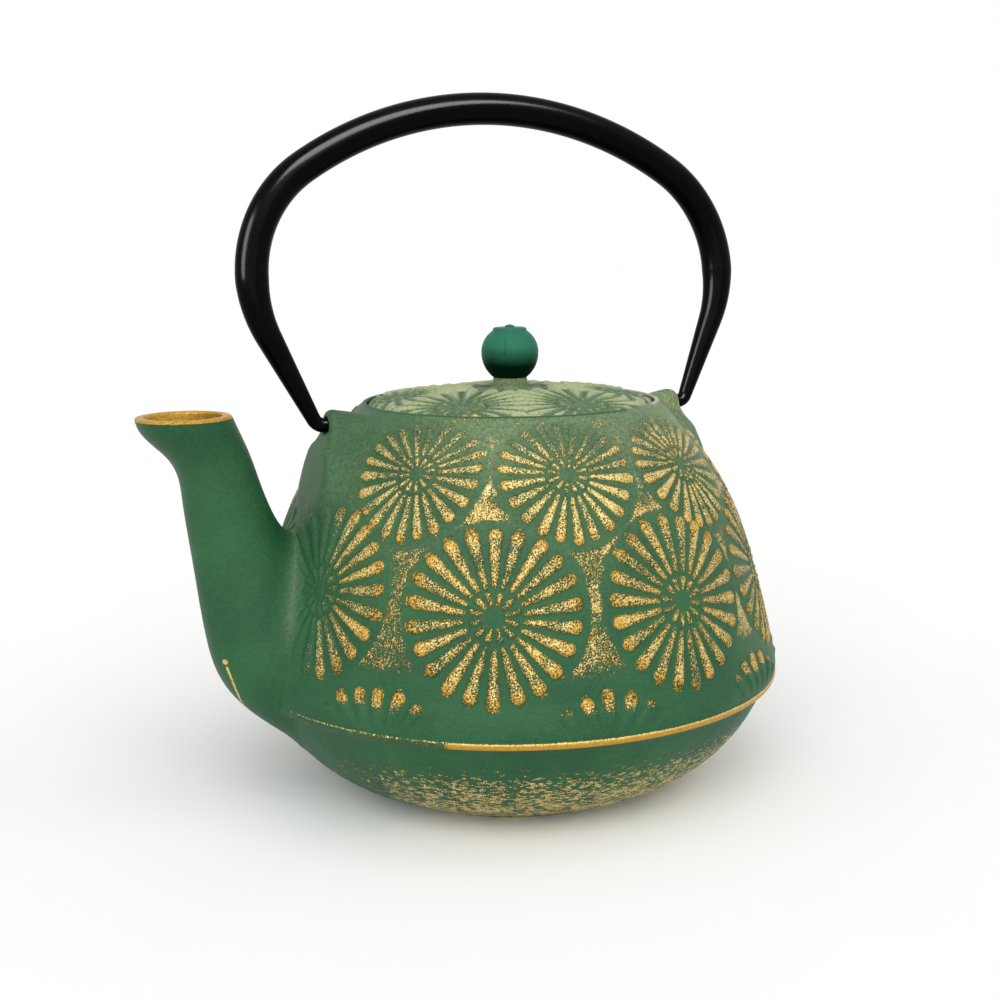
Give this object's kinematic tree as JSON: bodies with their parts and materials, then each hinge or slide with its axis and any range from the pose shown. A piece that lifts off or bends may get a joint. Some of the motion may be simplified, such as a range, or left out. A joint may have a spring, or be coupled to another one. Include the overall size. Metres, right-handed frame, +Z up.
{
  "type": "teapot",
  "caption": "Round lacquered cast iron teapot with a waist ridge, upturned spout, drop-in lid with ball knob, folding bail and lift-out strainer basket.",
  "frame": {"origin": "middle of the flat base, on the vessel's axis", "axes": "+Z up along the vessel's axis, spout towards -X, bail pins along X"},
  "size_m": [0.2019, 0.1674, 0.2137],
  "materials": {
    "lacquered_iron": "matt green lacquer over sand-cast iron, relief dusted with gold",
    "lacquered_knob": "satin green lacquer on turned iron",
    "black_bail": "satin black lacquer on steel tube",
    "stainless": "plain pressed sheet and woven wire"
  },
  "bodies": {
    "pot": {"pot_body": "lacquered_iron"},
    "bail": {"handle": "black_bail"},
    "infuser": {"infuser_rim": "stainless", "infuser_wall": "stainless", "infuser_floor": "stainless", "infuser_base_ring": "stainless"},
    "lid": {"lid": "lacquered_iron", "knob_ball": "lacquered_knob", "knob_stud": "lacquered_knob", "knob_washer": "stainless", "knob_nut": "stainless"}
  },
  "joints": [
    {"name": "handle_swing", "type": "hinge", "parent": "pot", "child": "bail", "pos_m": [0, 0, 0.1156], "axis": [1, 0, 0], "range_deg": [-110, 125]},
    {"name": "infuser_lift", "type": "slide", "parent": "pot", "child": "infuser", "axis": [0, 0, 1], "range_m": [0, 0.055]},
    {"name": "lid_lift", "type": "slide", "parent": "infuser", "child": "lid", "axis": [0, 0, 1], "range_m": [0, 0.055]}
  ]
}
